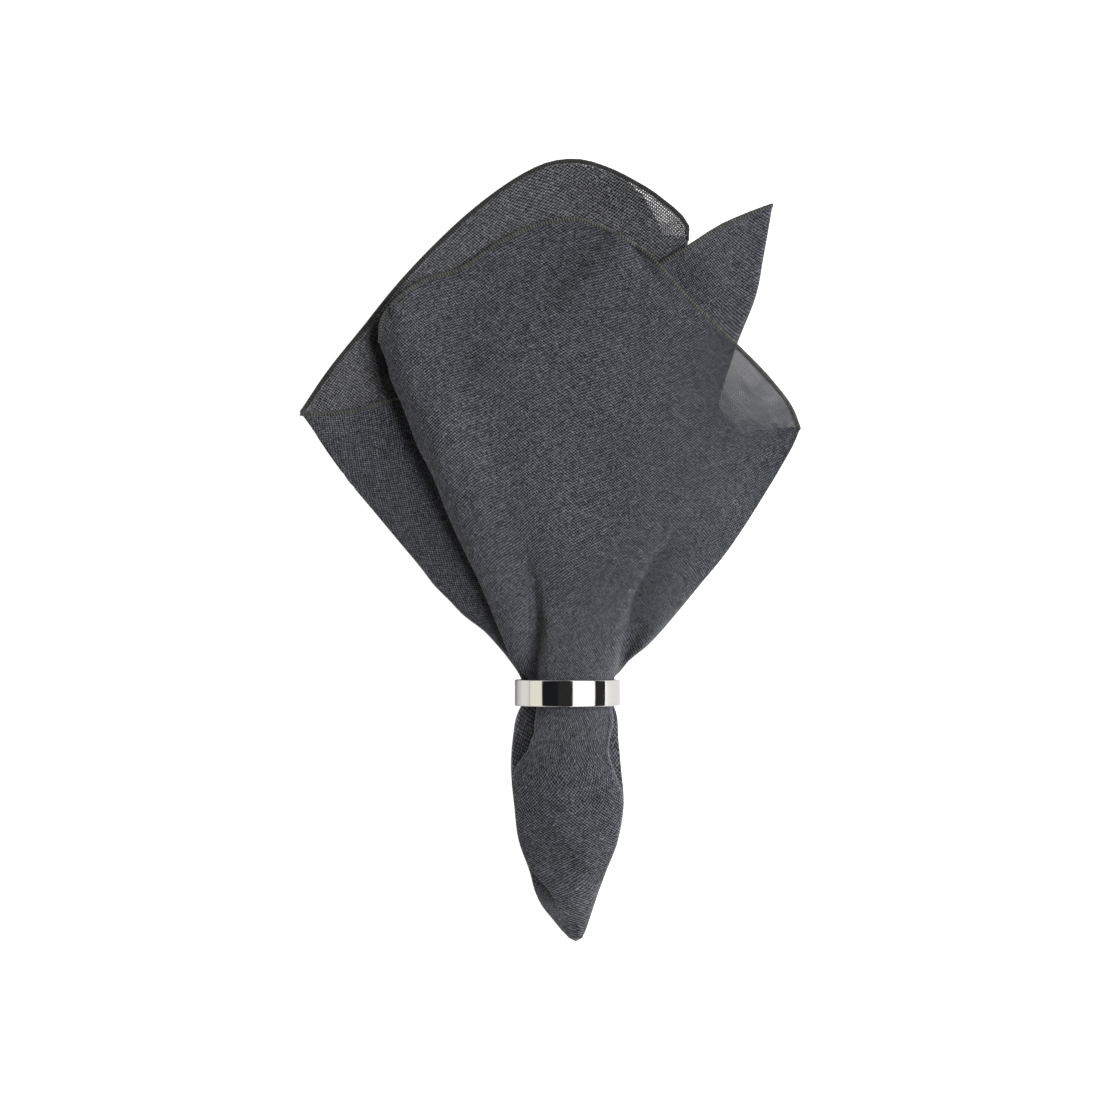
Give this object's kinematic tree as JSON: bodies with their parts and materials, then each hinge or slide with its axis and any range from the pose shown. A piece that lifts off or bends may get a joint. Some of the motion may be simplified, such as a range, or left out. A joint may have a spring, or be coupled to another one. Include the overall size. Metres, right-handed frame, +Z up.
{
  "type": "napkin in a napkin ring",
  "caption": "Square linen napkin drawn through a round polished metal ring, its corners fanned out above and a pouch below, lying flat.",
  "frame": {"origin": "middle of the whole thing on the surface that it lies on", "axes": "+Z up from the surface, +Y from the tail's tip through the ring to the fan of corners, along the ring's axis, +X to the right seen from above"},
  "size_m": [0.2011, 0.3139, 0.042],
  "materials": {
    "linen": "matte, loosely woven, dark slate",
    "polished_metal": "mirror polished"
  },
  "bodies": {
    "root": {"napkin": "linen", "ring": "polished_metal"}
  },
  "joints": []
}
